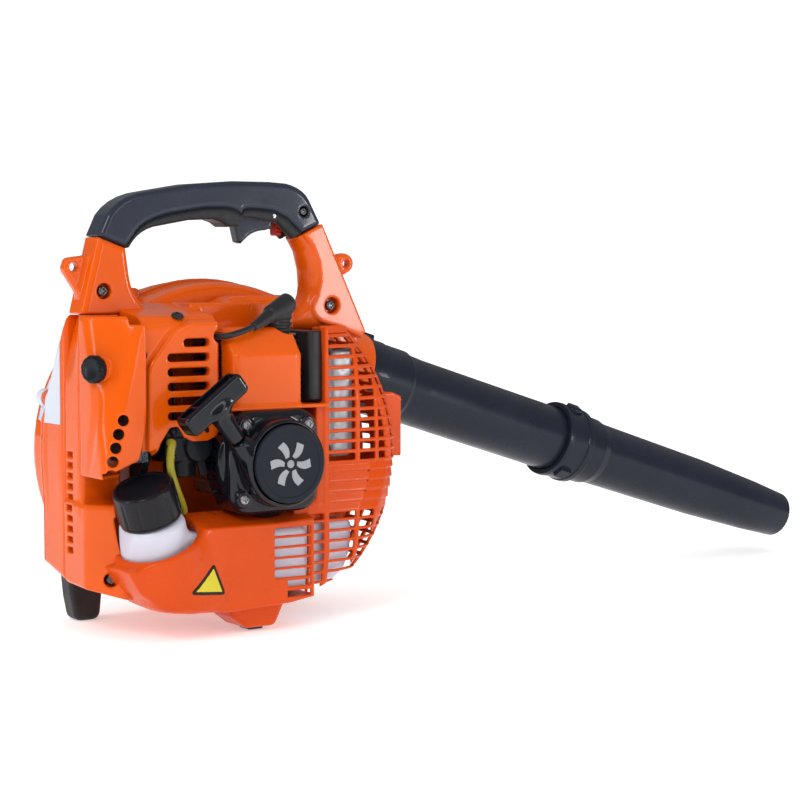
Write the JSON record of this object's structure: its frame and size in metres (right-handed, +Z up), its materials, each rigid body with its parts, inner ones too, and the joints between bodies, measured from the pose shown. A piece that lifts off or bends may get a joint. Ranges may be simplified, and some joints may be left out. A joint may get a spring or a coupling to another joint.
{
  "type": "leaf blower",
  "caption": "Hand-held petrol leaf blower: orange fan case, two-stroke engine with recoil starter, black handle grip and a long round blower tube with a tapered nozzle.",
  "frame": {"origin": "centre of the underside of the engine-side foot, straight below the crank axis", "axes": "+X the way the air leaves, +Y towards the air intake side, +Z up; the crank axis runs along Y"},
  "size_m": [0.8247, 0.212, 0.3594],
  "materials": {
    "orange_shell": "glossy moulded plastic with soft highlights",
    "orange_guard": "semi-gloss moulded plastic, a little redder",
    "tube_plastic": "semi-gloss blow-moulded plastic",
    "grip_plastic": "satin moulded plastic",
    "grip_rubber": "fine-grained soft grip",
    "black_plastic": "satin moulded plastic",
    "starter_plastic": "glossy moulded plastic",
    "disc_plastic": "matt printed plastic",
    "cap_plastic": "satin moulded plastic",
    "soft_black": "dull rubber",
    "foot_rubber": "dull rubber",
    "tank_plastic": "milky translucent plastic",
    "red_plastic": "glossy moulded plastic",
    "hose_rubber": "clear yellow fuel hose",
    "filter_foam": "open-cell foam",
    "cast_alloy": "rough cast alloy",
    "steel": "satin steel"
  },
  "bodies": {
    "body": {"fan_case_inner": "orange_shell", "fan_case_outer": "orange_shell", "rear_handle_arm": "orange_shell", "front_handle_arm": "orange_shell", "engine_shroud": "orange_shell", "rear_casing": "orange_shell", "muffler_guard": "orange_guard", "tank_guard": "orange_guard", "handle_grip": "grip_plastic", "grip_insert": "grip_rubber", "intake_guard": "black_plastic", "ignition_coil": "black_plastic", "insulator": "black_plastic", "air_cleaner_base": "black_plastic", "starter_housing": "starter_plastic", "starter_disc": "disc_plastic", "plug_boot": "soft_black", "ignition_lead": "soft_black", "throttle_cable": "soft_black", "rear_foot": "foot_rubber", "front_foot": "foot_rubber", "stand_pad": "foot_rubber", "fuel_tank": "tank_plastic", "fuel_hose": "hose_rubber", "air_filter": "filter_foam", "crankcase": "cast_alloy", "cylinder": "cast_alloy", "carburettor": "cast_alloy", "main_bearing_fan_side": "steel", "main_bearing_starter_side": "steel", "muffler": "steel", "spark_plug": "steel", "recoil_spring": "steel", "trigger_pin": "steel", "starter_screw_1": "steel", "starter_screw_2": "steel", "starter_screw_3": "steel", "rear_arm_screw": "steel", "front_arm_screw": "steel", "grip_screw": "steel"},
    "crank_train": {"crankshaft_fan_half": "steel", "crankshaft_starter_half": "steel", "flywheel": "cast_alloy", "impeller": "black_plastic", "impeller_nut": "steel"},
    "piston_group": {"piston": "cast_alloy", "connecting_rod": "steel", "crank_pin": "steel"},
    "pull_handle": {"starter_handle": "starter_plastic", "starter_rope": "soft_black"},
    "rope_reel": {"starter_reel": "black_plastic"},
    "trigger": {"throttle_trigger": "grip_plastic"},
    "switch": {"stop_switch": "red_plastic"},
    "choke": {"choke_lever": "black_plastic"},
    "cap_seal": {"cap_gasket": "soft_black"},
    "cap": {"fuel_cap": "cap_plastic"},
    "cleaner_cover": {"air_cleaner_cover": "orange_shell"},
    "knob": {"cover_knob": "black_plastic"},
    "tube": {"blower_tube": "tube_plastic"},
    "nozzle": {"nozzle": "tube_plastic"}
  },
  "joints": [
    {"name": "crank_spin", "type": "hinge", "parent": "body", "child": "crank_train", "pos_m": [0, 0.06, 0.137], "axis": [0, 1, 0], "continuous": true},
    {"name": "piston_stroke", "type": "slide", "parent": "body", "child": "piston_group", "axis": [0, 0, 1], "range_m": [0, 0.028]},
    {"name": "starter_pull", "type": "slide", "parent": "body", "child": "pull_handle", "axis": [-0.6018, 0, 0.7986], "range_m": [0, 0.65], "stiffness_N_per_m": 12, "springref_m": -0.3},
    {"name": "reel_turn", "type": "hinge", "parent": "body", "child": "rope_reel", "pos_m": [0, -0.041, 0.137], "axis": [0, 1, 0], "range_deg": [0, 1865]},
    {"name": "trigger_squeeze", "type": "hinge", "parent": "body", "child": "trigger", "pos_m": [0.038, 0.046, 0.332], "axis": [0, 1, 0], "range_deg": [0, 16], "stiffness_Nm_per_rad": 0.6, "springref_deg": -14.32},
    {"name": "stop_switch_slide", "type": "slide", "parent": "body", "child": "switch", "axis": [1, 0, 0], "range_m": [0, 0.007]},
    {"name": "choke_turn", "type": "hinge", "parent": "body", "child": "choke", "pos_m": [-0.058, -0.0076, 0.15], "axis": [0, 1, 0], "range_deg": [0, 40]},
    {"name": "cap_lift", "type": "slide", "parent": "body", "child": "cap_seal", "axis": [-0.358, -0.195, 0.9131], "range_m": [0, 0.008]},
    {"name": "cap_turn", "type": "hinge", "parent": "cap_seal", "child": "cap", "pos_m": [-0.10262, -0.01314, 0.10248], "axis": [-0.358, -0.195, 0.9131], "range_deg": [0, 721]},
    {"name": "cover_slide", "type": "slide", "parent": "body", "child": "cleaner_cover", "axis": [-1, 0, 0], "range_m": [0, 0.06]},
    {"name": "knob_turn", "type": "hinge", "parent": "cleaner_cover", "child": "knob", "pos_m": [-0.1345, 0.004, 0.213], "axis": [-0.9292, -0.3697, 0], "range_deg": [0, 1080]},
    {"name": "tube_twist", "type": "hinge", "parent": "body", "child": "tube", "pos_m": [0.03127, 0.099, 0.23619], "axis": [0.9537, 0, -0.3007], "range_deg": [0, 25]},
    {"name": "nozzle_twist", "type": "hinge", "parent": "tube", "child": "nozzle", "pos_m": [0.03127, 0.099, 0.23619], "axis": [0.9537, 0, -0.3007], "range_deg": [0, 30]}
  ],
  "couplings": [
    {"joint": "reel_turn", "follows": "starter_pull", "rad_per_m": 50},
    {"joint": "cap_turn", "follows": "cap_lift", "rad_per_m": 1570.8}
  ]
}
